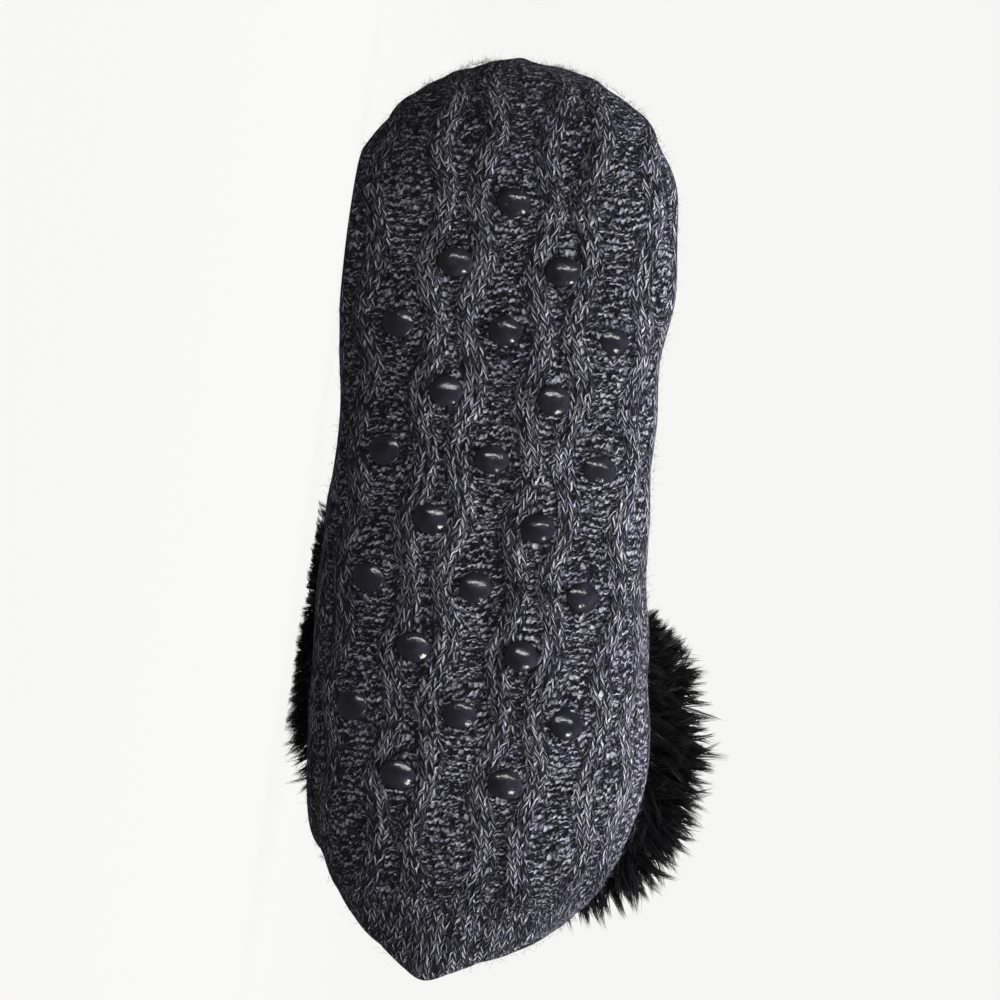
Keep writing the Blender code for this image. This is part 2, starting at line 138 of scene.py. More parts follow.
def half_rings(sections, side, shares):
    """Half of each section from its sole point to its top point, at shares of its length.

    Gives the points and each half's length.
    """
    sole_x, sole_z, top_x, top_z, centre, left, right, belly, low, high, skew = (
        sections[:, i : i + 1] for i in range(11)
    )
    turn = np.linspace(0, math.pi, 193)[None, :]
    power = np.where(turn < math.pi / 2, low, high)
    along = -np.sign(np.cos(turn)) * np.abs(np.cos(turn)) ** (2 / power)
    across = np.abs(np.sin(turn)) ** (2 / power)
    share = np.where(along < 0, belly * (1 + along), belly + along * (1 - belly))
    share = share - 0.5 * skew * side * across
    width = (left if side < 0 else right) * BALL_WIDTH
    x = (sole_x + (top_x - sole_x) * share) * SOCK_LENGTH
    z = (sole_z + (top_z - sole_z) * share) * COLLAR_HEIGHT
    y = centre * BALL_WIDTH + side * width * across
    fine = np.stack([x, y, z], 2)
    reach = np.concatenate(
        [np.zeros((len(fine), 1)), np.cumsum(np.linalg.norm(np.diff(fine, axis=1), axis=2), 1)], 1
    )
    points = np.empty((len(fine), len(shares), 3))
    for r in range(len(fine)):
        for axis in range(3):
            points[r, :, axis] = np.interp(shares * reach[r, -1], reach[r], fine[r, :, axis])
    return points, reach[:, -1]


def whole_rings(t, shares):
    """Whole sections at t, from the top round the left to the sole and up the right to the top."""
    sections = catmull(SECTIONS, t)
    left, left_length = half_rings(sections, -1, shares)
    right, right_length = half_rings(sections, 1, shares)
    return np.concatenate([left[:, ::-1], right[:, 1:]], 1), left_length, right_length


def lay(points):
    """The sock's own frame (heel to toe, left to right, sole to collar) as it lies in the scene."""
    along = points[..., 0] * math.cos(TILT) + points[..., 1] * math.sin(TILT)
    across = points[..., 1] * math.cos(TILT) - points[..., 0] * math.sin(TILT)
    return np.stack([-along + SHIFT[0], points[..., 2] + SHIFT[1], across - LEVEL], -1)


def normals_of(grid):
    """Outward normals of a grid of rings that runs toe to collar and left to right."""
    along = np.gradient(grid, axis=0)
    round_it = np.gradient(grid, axis=1)
    normals = np.cross(along, round_it)
    return normals / np.maximum(np.linalg.norm(normals, axis=2, keepdims=True), 1e-9)


def closed_normals(grid):
    """Outward normals of whole rings, whose first and last columns lie on each other."""
    normals = normals_of(grid)
    normals[:, 0] = normals[:, -1] = (normals[:, 1] + normals[:, -2]) / 2
    return normals


def laid_normals(normals):
    return lay(normals) - lay(np.zeros(3))


def smooth_step(low, high, value):
    share = np.clip((value - low) / (high - low), 0, 1)
    return share * share * (3 - 2 * share)


def even_rows(spacing, coarse, until):
    """Ring places whose spacing along the sole is even, and coarser from the ring until on."""
    t = np.linspace(0, len(SECTIONS) - 1, (len(SECTIONS) - 1) * 16 + 1)
    sole = whole_rings(t, np.array([0.0, 1.0]))[0][:, 1]
    reach = np.concatenate([[0], np.cumsum(np.linalg.norm(np.diff(sole, axis=0), axis=1))])
    middle = np.interp(until, t, reach)
    fine = np.linspace(0, middle, int(middle / spacing))
    rest = np.linspace(middle, reach[-1], int((reach[-1] - middle) / coarse) + 1)[1:]
    return np.interp(np.concatenate([fine, rest]), reach, t)


def knit_coordinates(grid, shares, left_length, right_length):
    """U and V at each point of the grid. U is even over the sole, and fits four cables in each half."""
    count = len(shares) - 1
    signed = np.concatenate([-shares[::-1], shares[1:]])[None, :]
    half = np.where(signed < 0, left_length[:, None], right_length[:, None])
    reach = np.abs(signed) * half
    side = 2 * CABLE_PITCH
    beyond = 2 + 2 * (reach - side) / np.maximum(half - side, side)
    u = np.sign(signed) * np.where(reach <= side, reach / CABLE_PITCH, beyond)
    steps = np.linalg.norm(np.diff(grid, axis=0), axis=2)
    arc = np.concatenate([np.zeros((1, grid.shape[1])), np.cumsum(steps, 0)])
    first = np.argmin(np.abs(grid[:, count, 0] - FIRST_CROSSING))
    v = (arc - arc[first : first + 1]) / REPEAT
    return u, v


def knit_height(u, v):
    """The cables' relief as a share of RELIEF, 0 on the purl ground."""
    turn = np.cos(2 * math.pi * v)
    x = (u - np.floor(u) - 0.5) * WALES_PER_CABLE - RIB_LEAN * np.sin(2 * math.pi * v)
    spread = RIB_SPREAD[0] - RIB_SPREAD[1] * turn
    width = RIB_WIDTH[0] - RIB_WIDTH[1] * turn + 0.15
    from_rib = np.abs(x) - spread
    ribs = np.clip(1 - (from_rib / width) ** 2, 0, 1) ** 0.6
    return ribs * (1 - 0.06 * np.cos(2 * math.pi * from_rib)) * (1 - 0.6 * smooth_step(*HEEL_ROWS, v))


def tube_quads(rows, count):
    """Quads between neighbouring rings of count points each, facing out."""
    r, c = np.meshgrid(np.arange(rows - 1), np.arange(count), indexing="ij")
    following = (c + 1) % count
    quads = [r * count + c, r * count + following, (r + 1) * count + following, (r + 1) * count + c]
    return np.stack(quads, -1).reshape(-1, 4)


def mesh_object(name, points, faces, material, smooth=True):
    """A mesh object from arrays. Faces is one array of triangles or quads."""
    mesh = bpy.data.meshes.new(name)
    points = np.asarray(points, np.float32).reshape(-1, 3)
    faces = np.asarray(faces, np.int32)
    mesh.vertices.add(len(points))
    mesh.vertices.foreach_set("co", points.ravel())
    mesh.loops.add(faces.size)
    mesh.loops.foreach_set("vertex_index", faces.ravel())
    mesh.polygons.add(len(faces))
    mesh.polygons.foreach_set("loop_start", np.arange(len(faces), dtype=np.int32) * faces.shape[1])
    mesh.update(calc_edges=True)
    mesh.validate()
    if smooth:
        mesh.shade_smooth()
    made = bpy.data.objects.new(name, mesh)
    bpy.context.scene.collection.objects.link(made)
    made.data.materials.append(material)
    return made


class Socket:
    """A shader value that reads like arithmetic: each operation adds one Math node."""

    def __init__(self, tree, socket):
        self.tree, self.socket = tree, socket

    def math(self, operation, *others):
        node = self.tree.nodes.new("ShaderNodeMath")
        node.operation = operation
        for place, value in zip(node.inputs, (self, *others)):
            if isinstance(value, Socket):
                self.tree.links.new(value.socket, place)
            else:
                place.default_value = value
        return Socket(self.tree, node.outputs[0])

    def __add__(self, other):
        return self.math("ADD", other)

    def __radd__(self, other):
        return self.math("ADD", other)

    def __sub__(self, other):
        return self.math("SUBTRACT", other)

    def __rsub__(self, other):
        return (self * -1.0).math("ADD", other)

    def __mul__(self, other):
        return self.math("MULTIPLY", other)

    def __rmul__(self, other):
        return self.math("MULTIPLY", other)

    def __truediv__(self, other):
        return self.math("DIVIDE", other)

    def fract(self):
        return self.math("FRACT")

    def floor(self):
        return self.math("FLOOR")

    def size(self):
        return self.math("ABSOLUTE")

    def power(self, exponent):
        return self.math("POWER", exponent)

    def clamped(self):
        node = self.tree.nodes.new("ShaderNodeClamp")
        self.tree.links.new(self.socket, node.inputs[0])
        return Socket(self.tree, node.outputs[0])

    def step(self, low, high):
        node = self.tree.nodes.new("ShaderNodeMapRange")
        node.interpolation_type = "SMOOTHSTEP"
        self.tree.links.new(self.socket, node.inputs[0])
        node.inputs[1].default_value = low
        node.inputs[2].default_value = high
        return Socket(self.tree, node.outputs[0])

    def mixed(self, other, share):
        """This value where share is 0, and the other where it is 1."""
        return self + share * (other - self if isinstance(other, Socket) else (self * -1.0) + other)


def vector(tree, x, y, z):
    node = tree.nodes.new("ShaderNodeCombineXYZ")
    for place, value in zip(node.inputs, (x, y, z)):
        if isinstance(value, Socket):
            tree.links.new(value.socket, place)
        else:
            place.default_value = value
    return node.outputs[0]


def white(tree, x, y, z):
    """One random value from 0 to 1 for each whole-numbered place."""
    node = tree.nodes.new("ShaderNodeTexWhiteNoise")
    tree.links.new(vector(tree, x, y, z), node.inputs[0])
    return Socket(tree, node.outputs[0])


def cloudy(tree, place, scale, detail=2.0, roughness=0.5):
    """Soft noise from 0 to 1 at a place, which is a vector's socket."""
    node = tree.nodes.new("ShaderNodeTexNoise")
    tree.links.new(place, node.inputs["Vector"])
    node.inputs["Scale"].default_value = scale
    node.inputs["Detail"].default_value = detail
    node.inputs["Roughness"].default_value = roughness
    return Socket(tree, node.outputs[0])


def new_material(name, roughness):
    material = bpy.data.materials.new(name)
    material.use_nodes = True
    tree = material.node_tree
    shader = tree.nodes["Principled BSDF"]
    shader.inputs["Roughness"].default_value = roughness
    return material, tree, shader


def set_bump(tree, shader, height, distance):
    bump = tree.nodes.new("ShaderNodeBump")
    bump.inputs["Strength"].default_value = 1.0
    bump.inputs["Distance"].default_value = distance
    tree.links.new(height.socket, bump.inputs["Height"])
    tree.links.new(bump.outputs[0], shader.inputs["Normal"])


def colour_ramp(tree, share, stops):
    node = tree.nodes.new("ShaderNodeValToRGB")
    tree.links.new(share.socket, node.inputs[0])
    ramp = node.color_ramp
    while len(ramp.elements) < len(stops):
        ramp.elements.new(0.5)
    for element, (place, colour) in zip(ramp.elements, stops):
        element.position = place
        element.color = (*colour, 1)
    return node.outputs[0]


def object_place(tree):
    return tree.nodes.new("ShaderNodeTexCoord").outputs["Object"]


def knit_material():
    """Black and grey marl: stockinette ribs that part and meet on a purl ground, drawn from U and V."""
    material, tree, shader = new_material("marl_knit", 0.92)
    shader.inputs["Sheen Weight"].default_value = 0.05
    shader.inputs["Sheen Roughness"].default_value = 0.45
    shader.inputs["Sheen Tint"].default_value = (0.62, 0.62, 0.80, 1)
    shader.inputs["Specular IOR Level"].default_value = 0.12
    uv = tree.nodes.new("ShaderNodeUVMap")
    uv.uv_map = "knit"
    parts = tree.nodes.new("ShaderNodeSeparateXYZ")
    tree.links.new(uv.outputs[0], parts.inputs[0])
    u, v = Socket(tree, parts.outputs[0]), Socket(tree, parts.outputs[1])

    # Soft yarn never lies quite even, so the whole pattern wanders a little.
    wander = cloudy(tree, vector(tree, u * 2.6, v * 3.1, 0.0), 1.0, 3.0)
    u = u + (wander - 0.5) * 0.10
    v = v + (cloudy(tree, vector(tree, u * 1.7, v * 1.9, 7.0), 1.0, 3.0) - 0.5) * 0.10

    turn = (v * (2 * math.pi)).math("COSINE")
    x = (u.fract() - 0.5) * WALES_PER_CABLE - (v * (2 * math.pi)).math("SINE") * RIB_LEAN
    from_rib = x.size() - (RIB_SPREAD[0] - RIB_SPREAD[1] * turn)
    blur = (cloudy(tree, vector(tree, u * 14.0, v * 15.0, 5.0), 1.0, 1.0) - 0.5) * 3.0
    beyond = from_rib.size() - (RIB_WIDTH[0] - RIB_WIDTH[1] * turn) + blur
    on_rib = 1.0 - beyond.step(-0.4, 0.4)
    stray = cloudy(tree, vector(tree, u * 17.0, v * 19.0, 11.0), 1.0, 2.0) - 0.5
    # Behind the sole the heel is plain stockinette in straight wales.
    heel = (v + stray * 1.2).math("GREATER_THAN", sum(HEEL_ROWS) / 2)
    loose = 1.0 - heel * 0.1
    wale = (from_rib * x.math("SIGN")).mixed(u * float(WALES_PER_CABLE), heel) * V_SHARE
    wale = wale + stray * loose * 0.6
    on_rib = on_rib.math("MAXIMUM", heel)
    # The rows arch between the cables, where the ribs come together again.
    arch = (u * (2 * math.pi)).math("COSINE") * ((v - 0.18) * (2 * math.pi)).math("COSINE")
    row = v * ROWS_PER_REPEAT - arch * 0.6

    # Stockinette: two slanting legs in each wale, which meet at the foot of a V.
    column = (wale + 50.0).floor()
    inside = (wale + 50.0).fract() - 0.5
    half = inside.size() * 2.0
    side = inside.math("SIGN")
    leg_row = row + half * 1.15 + stray * loose * 0.9
    leg = leg_row.floor()
    across = leg_row.fract() * 2.0 - 1.0
    round_leg = (1.0 - across * across).math("MAXIMUM", 0.0).power(0.5)
    leg_height = round_leg * (0.30 + 0.70 * (4.0 * half * (1.0 - half)).clamped().power(0.45))
    leg_strand = (across * 0.9 + half * 1.1 + 5.0).floor()
    leg_luck = white(tree, column + (u + 50.0).floor() * 17.0, leg, side + leg_strand * 3.0)
    leg_place = vector(tree, half * 1.1 + column * 3.7, across * 1.5, leg * 2.3 + side)
    leg_grain = cloudy(tree, leg_place, 1.0, 2.0)
    leg_ply = ((half * 0.9 + across * 0.35 + leg_luck * 2.0) * (2 * math.pi)).math("SINE")

    # Purl ground: rows of short horizontal bumps, each half a stitch out of step with the next.
    stitch = u * (1.25 * WALES_PER_CABLE) + 100.0
    uneven = cloudy(tree, vector(tree, stitch * 0.6, row * 0.9, 4.0), 1.0, 2.0) - 0.5
    step_aside = (white(tree, stitch.floor(), (row / 2.3).floor(), 9.0) - 0.5) * 0.55
    bump_row = row + 0.05 * (stitch * (2 * math.pi)).math("COSINE") + uneven * 0.8 + step_aside
    bump = bump_row.floor()
    low = bump_row.fract() * 2.0 - 1.0
    shifted = stitch + bump.math("MODULO", 2.0) * 0.5
    knot = shifted.floor()
    within = shifted.fract() * 2.0 - 1.0
    purl_height = (1.0 - low * low).math("MAXIMUM", 0.0).power(0.55) * (0.70 + 0.30 * (1.0 - within * within))
    purl_strand = (low * 2.2 + within * 0.5 + 5.0).floor()
    purl_luck = white(tree, knot, bump, purl_strand)
    purl_grain = cloudy(tree, vector(tree, stitch * 0.8, low * 1.5, bump * 2.9), 1.0, 3.0, 0.6)
    purl_ply = ((within * 0.55 + low * 0.3 + purl_luck * 2.0) * (2 * math.pi)).math("SINE")

    height = purl_height.mixed(leg_height, on_rib)
    luck = purl_luck.mixed(leg_luck, on_rib)
    grain = purl_grain.mixed(leg_grain, on_rib)
    ply = purl_ply.mixed(leg_ply, on_rib)
    marl = 0.52 + (luck - 0.5) * (0.84 - 0.10 * on_rib) + (grain - 0.5) * 1.6 + ply * 0.08
    # Painted shade: the colour darkens where the yarn's height is low, in the gaps between strands and
    # stitches.
    lit = (marl.clamped() * (0.10 + 0.90 * height) * (0.89 + 0.13 * on_rib)).clamped()
    # Painted shade: the colour is darker at the toe and the heel.
    lit = lit * (1.0 - 0.13 * v.step(4.9, 5.4)) * (1.0 - 0.13 * (1.0 - v.step(-1.0, 0.4)))
    # Painted shade along the edges of the ribs, where they meet the purl ground.
    lit = lit * (0.86 + 0.14 * beyond.size().step(0.0, 0.5).math("MAXIMUM", heel))
    colour = colour_ramp(tree, lit, [
        (0.00, (0.0006, 0.0006, 0.0012)),
        (0.24, (0.0032, 0.0032, 0.0055)),
        (0.39, (0.0280, 0.0280, 0.0345)),
        (0.56, (0.1260, 0.1260, 0.1400)),
        (0.76, (0.2500, 0.2500, 0.2680)),
        (1.00, (0.3800, 0.3800, 0.3980)),
    ])
    # Some lengths of the yarn lean to violet.
    violet = cloudy(tree, vector(tree, u * 3.3, v * 3.6, 2.0), 1.0, 5.0, 0.7).step(0.42, 0.66)
    tint = tree.nodes.new("ShaderNodeMix")
    tint.data_type = "RGBA"
    tint.blend_type = "MULTIPLY"
    tree.links.new(violet.socket, tint.inputs[0])
    tree.links.new(colour, tint.inputs[6])
    tint.inputs[7].default_value = (0.92, 0.89, 1.05, 1)
    tree.links.new(tint.outputs[2], shader.inputs["Base Color"])
    fibres = cloudy(tree, vector(tree, u * 260.0, v * 300.0, 0.0), 1.0, 2.0)
    set_bump(tree, shader, height + fibres * 0.18, 0.0008)
    return material


def with_tip(grid, left_length, right_length):
    """The rings and their lengths, with smaller rings put before them that close the toe."""
    shrink = np.array([0.01, 0.3, 0.55, 0.8])
    centre = grid[0].mean(0)
    tip = centre + (grid[0] - centre) * shrink[:, None, None]
    tip[..., 0] += 0.0006 * (1 - shrink**2)[:, None]
    left_length = np.concatenate([left_length[0] * shrink, left_length])
    right_length = np.concatenate([right_length[0] * shrink, right_length])
    return np.concatenate([tip, grid]), left_length, right_length


def knit_piece(material):
    """The whole knitted surface, with the cables raised on it. Finest on the sole."""
    shares = np.concatenate([np.linspace(0, 0.5, 94), np.linspace(0.5, 1, 53)[1:]])
    t = even_rows(0.00098, 0.003, 20.2)
    grid, left_length, right_length = with_tip(*whole_rings(t, shares))
    u, v = knit_coordinates(grid, shares, left_length, right_length)
    normals = closed_normals(grid)
    girth = (left_length + right_length)[:, None]
    fade = smooth_step(0.012, 0.11, girth)
    height = (knit_height(u, v) - 0.45) * RELIEF * fade
    # The printing presses the cables flat under each dot.
    laid = lay(grid)
    away = np.min([np.linalg.norm(laid - base, axis=2) for base, _ in dot_frames()], axis=0)
    height = np.where(away < 0.006, -0.0001 + (height + 0.0001) * smooth_step(0.0036, 0.0056, away), height)
    slack = 0.0005 * np.sin(u * 5.1 + v * 2.7) * np.sin(v * 3.9 - u * 2.3)
    grid = grid + normals * (height + slack)[..., None]
    # The heel runs out to a small soft point.
    away = np.linalg.norm((grid - [0.0, -0.0035, 0.0150]) / [1.0, 1.0, 1.3], axis=2)
    grid[..., 0] -= 0.0030 * np.exp(-((away / 0.0075) ** 2))
    grid = lay(grid)
    # Soft goods go flat on the floor.
    low = 0.0011
    z = grid[..., 2]
    grid[..., 2] = np.where(z < low, low * np.exp((z - low) / low * 0.5) * 0.9 + low * 0.1, z)
    rows, count = grid.shape[:2]
    count -= 1
    points = grid[:, :-1].reshape(-1, 3)
    piece = mesh_object("knit", points, tube_quads(rows, count), material)
    uv = np.stack([u, v], -1)
    corners = np.stack([uv[:-1, :-1], uv[:-1, 1:], uv[1:, 1:], uv[1:, :-1]], 2)
    layer = piece.data.uv_layers.new(name="knit")
    layer.data.foreach_set("uv", corners.reshape(-1).astype(np.float32))
    return piece


def lining(material):
    """The plush inside, a hair behind the knit, up to the rim."""
    shares = np.linspace(0, 1, 41)
    t = even_rows(0.004, 0.004, 20.0)
    grid = whole_rings(t, shares)[0]
    normals = closed_normals(grid)
    girth = np.linalg.norm(np.diff(grid, axis=1), axis=2).sum(1)
    grid, normals = grid[girth > 0.05], normals[girth > 0.05]
    inner = lay(grid - normals * (WALL + 0.0002))
    inner[..., 2] = np.maximum(inner[..., 2], WALL)
    rows, count = inner.shape[:2]
    count -= 1
    points = inner[:, :-1].reshape(-1, 3)
    facing_in = tube_quads(rows, count)[:, [0, 3, 2, 1]]
    return mesh_object("lining", points, facing_in, material)


def wale_frames():
    """Each wale's own course near the rim, as points, outward normals and depth below the rim."""
    shares = np.linspace(0, 1, RIM_COLUMNS // 2 + 1)
    t = np.linspace(13, len(SECTIONS) - 1, 140)
    grid = whole_rings(t, shares)[0]
    grid, normals = lay(grid), laid_normals(closed_normals(grid))
    steps = np.linalg.norm(np.diff(grid, axis=0), axis=2)
    depth = np.concatenate([np.cumsum(steps[::-1], 0)[::-1], np.zeros((1, grid.shape[1]))])
    return grid[:, :-1], normals[:, :-1], depth[:, :-1]


def cuff_point(frames, wale, out, down):
    """Points beside the knit near its rim: out along the normal, and down below the rim."""
    grid, normals, depth = frames
    count = grid.shape[1]
    wale = np.mod(wale, count)
    k0 = np.floor(wale).astype(int) % count
    f = (wale - np.floor(wale))[:, None]
    found = []
    for k, weight in ((k0, 1 - f), ((k0 + 1) % count, f)):
        level = np.maximum(down, 0.0)
        rows = np.arange(len(depth))[::-1]
        place = np.array([np.interp(level[i], depth[::-1, k[i]], rows) for i in range(len(k))])
        i0 = np.minimum(place.astype(int), len(depth) - 2)
        g = (place - i0)[:, None]
        point = grid[i0, k] * (1 - g) + grid[i0 + 1, k] * g
        normal = normals[i0, k] * (1 - g) + normals[i0 + 1, k] * g
        up = grid[-1, k] - grid[-4, k]
        up /= np.linalg.norm(up, axis=1, keepdims=True)
        point = point + normal * out[:, None] + up * np.maximum(-down, 0.0)[:, None]
        found.append((point * weight, normal * weight, up * weight))
    point, normal, up = (sum(part) for part in zip(*found))
    normal /= np.linalg.norm(normal, axis=1, keepdims=True)
    up /= np.linalg.norm(up, axis=1, keepdims=True)
    return point, normal, up


def backing_point(frames, wale, place):
    """Points on the backing at a share of the way from its outer to its inner edge.

    Gives the points, the backing's own outward direction and the way up the knit.
    """
    table = np.array(BACKING)
    spans = np.concatenate([[0], np.cumsum(np.linalg.norm(np.diff(table, axis=0), axis=1))])
    spans /= spans[-1]
    out, down = (np.interp(place, spans, column) for column in table.T)
    point, normal, up = cuff_point(frames, wale, out, down)
    ahead = [
        np.interp(place + 0.03, spans, column) - np.interp(place - 0.03, spans, column) for column in table.T
    ]
    size = np.hypot(*ahead)
    # The backing's own normal stands square to its profile.
    away = -normal * (ahead[1] / size)[:, None] - up * (ahead[0] / size)[:, None]
    # The backing stays off the floor, on the tips of its locks.
    low = BACKING_FLOOR * 2
    z = point[:, 2]
    point[:, 2] = np.where(z < low, BACKING_FLOOR * (1 + np.exp((z - low) / BACKING_FLOOR)), z)
    return point, away, up


def fur_backing(frames, material):
    count, levels = RIM_COLUMNS, 26
    wale = np.repeat(np.arange(count) * 1.0, levels)
    place = np.tile(np.linspace(0, 1, levels), count)
    points = backing_point(frames, wale, place)[0]
    r, c = np.meshgrid(np.arange(count), np.arange(levels - 1), indexing="ij")
    following = (r + 1) % count
    quads = [r * levels + c, following * levels + c, following * levels + c + 1, r * levels + c + 1]
    return mesh_object("fur_backing", points, np.stack(quads, -1).reshape(-1, 4), material)


def ribbons(roots, ways, lengths, widths, bends):
    """Tapered flat hairs as one mesh's points and triangles, from arrays with one row a hair."""
    n = len(roots)
    segments = len(HAIR_TAPER)
    steps = np.linspace(0, 1, segments + 1)
    side = np.cross(ways, chance.normal(size=(n, 3)))
    side /= np.linalg.norm(side, axis=1, keepdims=True)
    course = (
        roots[:, None]
        + ways[:, None] * (lengths[:, None] * steps)[..., None]
        + bends[:, None] * (lengths[:, None] * steps**2)[..., None]
    )
    breadth = side[:, None] * (widths[:, None] * HAIR_TAPER)[..., None] / 2
    left, right = course[:, :segments] - breadth, course[:, :segments] + breadth
    points = np.concatenate([np.stack([left, right], 2).reshape(n, -1, 3), course[:, segments:]], 1)
    faces = []
    for i in range(segments - 1):
        a, b, c, d = 2 * i, 2 * i + 1, 2 * i + 3, 2 * i + 2
        faces += [(a, b, c), (a, c, d)]
    faces.append((2 * segments - 2, 2 * segments - 1, 2 * segments))
    each = points.shape[1]
    triangles = (np.arange(n)[:, None, None] * each + np.array(faces)[None]).reshape(-1, 3)
    return points.reshape(-1, 3), triangles


def fur_locks(frames, material):
    """Clumpy locks of hair all over the backing, each gathered to a point."""
    locks, hairs = LOCKS, HAIRS_PER_LOCK
    # Most locks grow outside, from the lower edge to just over the roll, and the rest inside.
    outside = int(locks * 0.82)
    place = np.concatenate([chance.uniform(0, 0.72, outside), chance.uniform(0.72, 1.0, locks - outside)])
    wale = chance.uniform(0, RIM_COLUMNS, locks)
    root, away, up = backing_point(frames, wale, place)
    droop = np.interp(place, [0, 0.25, 0.5, 0.62, 0.8, 1.0], [0.75, 0.45, 0.25, 0.0, 0.2, 0.3])
    way = away + -up * droop[:, None] + chance.normal(size=(locks, 3)) * 0.22
    way /= np.linalg.norm(way, axis=1, keepdims=True)
    lengths = [0.012, 0.0155, 0.0140, 0.0105, 0.0075, 0.0065]
    length = np.interp(place, [0, 0.1, 0.5, 0.62, 0.8, 1.0], lengths)
    length *= chance.uniform(0.78, 1.00, locks)
    # Over the instep the fur lies short, and no lock is longer than its way to the floor.
    instep = smooth_step(0.092, 0.102, SHIFT[0] - root[:, 0]) * smooth_step(0.060, 0.080, root[:, 2])
    length *= 1 - 0.36 * instep
    to_floor = (root[:, 2] - 0.0003) / np.maximum(-way[:, 2], 1e-4)
    length = np.minimum(length, to_floor * chance.uniform(0.75, 1.1, locks) + 0.0006)
    curl = np.cross(way, chance.normal(size=(locks, 3))) * chance.uniform(0.05, 0.3, locks)[:, None]
    tip = root + way * length[:, None] + curl * length[:, None]
    across = np.cross(way, [0.3, 0.5, 0.81])
    across /= np.linalg.norm(across, axis=1, keepdims=True)
    other = np.cross(way, across)
    turn = chance.uniform(0, 2 * math.pi, (locks, hairs))
    spread = 0.0020 * np.sqrt(chance.uniform(0, 1, (locks, hairs))) * chance.uniform(0.7, 1.3, locks)[:, None]
    offset = across[:, None] * (np.cos(turn) * spread)[..., None]
    offset = offset + other[:, None] * (np.sin(turn) * spread)[..., None]
    start = root[:, None] + offset - way[:, None] * 0.001
    loose = chance.normal(size=(locks, hairs, 3)) * 0.00035
    end = tip[:, None] + offset * 0.07 + loose
    end = root[:, None] + (end - root[:, None]) * chance.uniform(0.80, 1.02, (locks, hairs))[..., None]
    bend = curl[:, None] * 0.8 - offset * 18.0
    run = end - start
    length = np.linalg.norm(run, axis=2)
    ways = run / length[..., None] - bend
    points, triangles = ribbons(
        start.reshape(-1, 3), ways.reshape(-1, 3), length.reshape(-1),
        chance.uniform(0.00028, 0.00048, locks * hairs), bend.reshape(-1, 3),
    )
    # Hairs that reach the floor lie down on it.
    low, floor = 0.0006, 0.0002
    z = points[:, 2]
    points[:, 2] = np.where(z < low, floor + (low - floor) * np.exp((z - low) / 0.002), z)
    # Two objects, each with half of the locks. Two objects, so that neither has too
    # many triangles.
    made = []
    per = (locks // 2) * hairs
    each_point, each_face = len(points) // (locks * hairs), len(triangles) // (locks * hairs)
    for number, (first, last) in enumerate(((0, per), (per, locks * hairs)), start=1):
        some = points[first * each_point : last * each_point]
        faces = triangles[first * each_face : last * each_face] - first * each_point
        made.append(mesh_object(f"fur_{number}", some, faces, material, smooth=False))
    return made


def fur_material():
    """Near-black synthetic fur, with faintly warm painted glints on random clumps."""
    material, tree, shader = new_material("black_fur", 0.42)
    shader.inputs["Specular IOR Level"].default_value = 0.36
    shader.inputs["Sheen Weight"].default_value = 0.03
    tone_and_painted_glints = cloudy(tree, object_place(tree), 260.0, 3.0)
    # The ramp's darker stops vary the fur's tone at random; its lightest, warm stop is painted highlights
    # standing for glints.
    tree.links.new(colour_ramp(tree, tone_and_painted_glints, [
        (0.30, (0.0026, 0.0022, 0.0027)),
        (0.55, (0.0062, 0.0051, 0.0060)),
        (0.75, (0.0160, 0.0124, 0.0144)),
    ]), shader.inputs["Base Color"])
    return material


def backing_material():
    material, tree, shader = new_material("fur_backing", 0.9)
    strands = cloudy(tree, object_place(tree), 900.0, 3.0, 0.6)
    tree.links.new(colour_ramp(tree, strands, [
        (0.35, (0.0015, 0.0013, 0.0016)),
        (0.70, (0.0090, 0.0075, 0.0085)),
    ]), shader.inputs["Base Color"])
    set_bump(tree, shader, strands, 0.0015)
    return material


def lining_material():
    """Short dense plush."""
    material, tree, shader = new_material("plush_lining", 0.95)
    shader.inputs["Sheen Weight"].default_value = 0.25
    shader.inputs["Sheen Tint"].default_value = (0.5, 0.48, 0.52, 1)
    pile = cloudy(tree, object_place(tree), 1400.0, 3.0, 0.65)
    tufts = cloudy(tree, object_place(tree), 260.0, 2.0)
    tree.links.new(colour_ramp(tree, pile * 0.6 + tufts * 0.4, [
        (0.35, (0.0060, 0.0055, 0.0065)),
        (0.65, (0.0300, 0.0280, 0.0320)),
    ]), shader.inputs["Base Color"])
    set_bump(tree, shader, pile * 0.5 + tufts, 0.0012)
    return material


def silicone_material():
    """Glossy black silicone, a little cloudy and with fine ripples from the printing."""
    material, tree, shader = new_material("silicone", 0.20)
    place = object_place(tree)
    shade = cloudy(tree, place, 320.0, 3.0)
    tree.links.new(colour_ramp(tree, shade, [
        (0.35, (0.0045, 0.0043, 0.0072)),
        (0.70, (0.0125, 0.0120, 0.0180)),
    ]), shader.inputs["Base Color"])
    shader.inputs["Specular IOR Level"].default_value = 0.40
    ripples = cloudy(tree, place, 420.0, 2.0)
    set_bump(tree, shader, ripples, 0.00022)
    return material


def dot_frames():
    """Where each CAD dot's base stands: its middle and its outward normal."""
    for number in range(1, 24):
        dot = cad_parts[f"grip_dot_{number:02d}"]
        points = np.array([list(v.co) for v in dot.data.vertices])
        centre = points.mean(0)
        shape = points - centre
        normal = np.linalg.svd(shape, full_matrices=False)[2][2]
        if normal[1] > 0:
            normal = -normal
        base = centre + normal * (shape @ normal).min()
        yield base, normal


